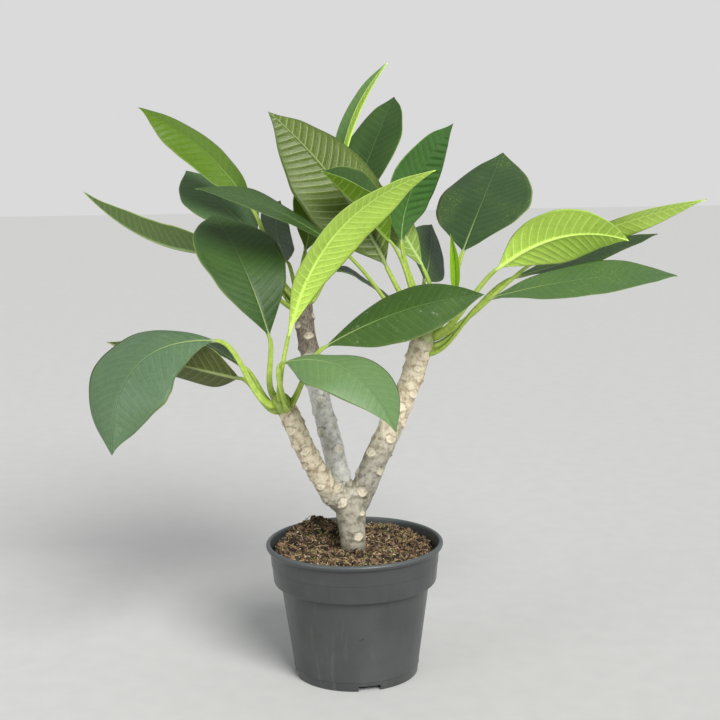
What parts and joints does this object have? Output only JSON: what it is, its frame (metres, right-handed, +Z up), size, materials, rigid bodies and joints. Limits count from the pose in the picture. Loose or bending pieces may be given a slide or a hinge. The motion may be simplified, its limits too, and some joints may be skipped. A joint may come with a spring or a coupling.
{
  "type": "potted plumeria plant",
  "caption": "Young plumeria with a forked, leaf-scarred stem and broad pointed leaves, growing from potting mix in a round tapered nursery pot with a deep collar.",
  "frame": {"origin": "centre of the pot's base, on the ground", "axes": "+Z up along the pot's axis; -Y towards the viewer; +X towards the stem's right-hand branch"},
  "size_m": [0.5903, 0.253, 0.5812],
  "materials": {
    "pot": "satin dark grey moulded plastic",
    "soil": "rough dark brown peat and coir mix",
    "bark": "grey to tan bark with pale leaf scars",
    "leaf": "satin green leaf, paler below"
  },
  "bodies": {
    "root": {"nursery_pot": "pot", "potting_mix": "soil", "woody_stem": "bark", "leaf_left_1": "leaf", "leaf_left_2": "leaf", "leaf_left_3": "leaf", "leaf_left_4": "leaf", "leaf_left_5": "leaf", "leaf_left_6": "leaf", "leaf_left_7": "leaf", "leaf_middle_1": "leaf", "leaf_middle_2": "leaf", "leaf_middle_3": "leaf", "leaf_middle_4": "leaf", "leaf_middle_5": "leaf", "leaf_middle_6": "leaf", "leaf_middle_7": "leaf", "leaf_middle_8": "leaf", "leaf_right_1": "leaf", "leaf_right_2": "leaf", "leaf_right_3": "leaf", "leaf_right_4": "leaf", "leaf_right_5": "leaf", "leaf_right_6": "leaf", "leaf_right_7": "leaf", "leaf_right_8": "leaf", "leaf_right_9": "leaf", "leaf_right_10": "leaf", "leaf_right_11": "leaf", "leaf_right_12": "leaf"}
  },
  "joints": []
}
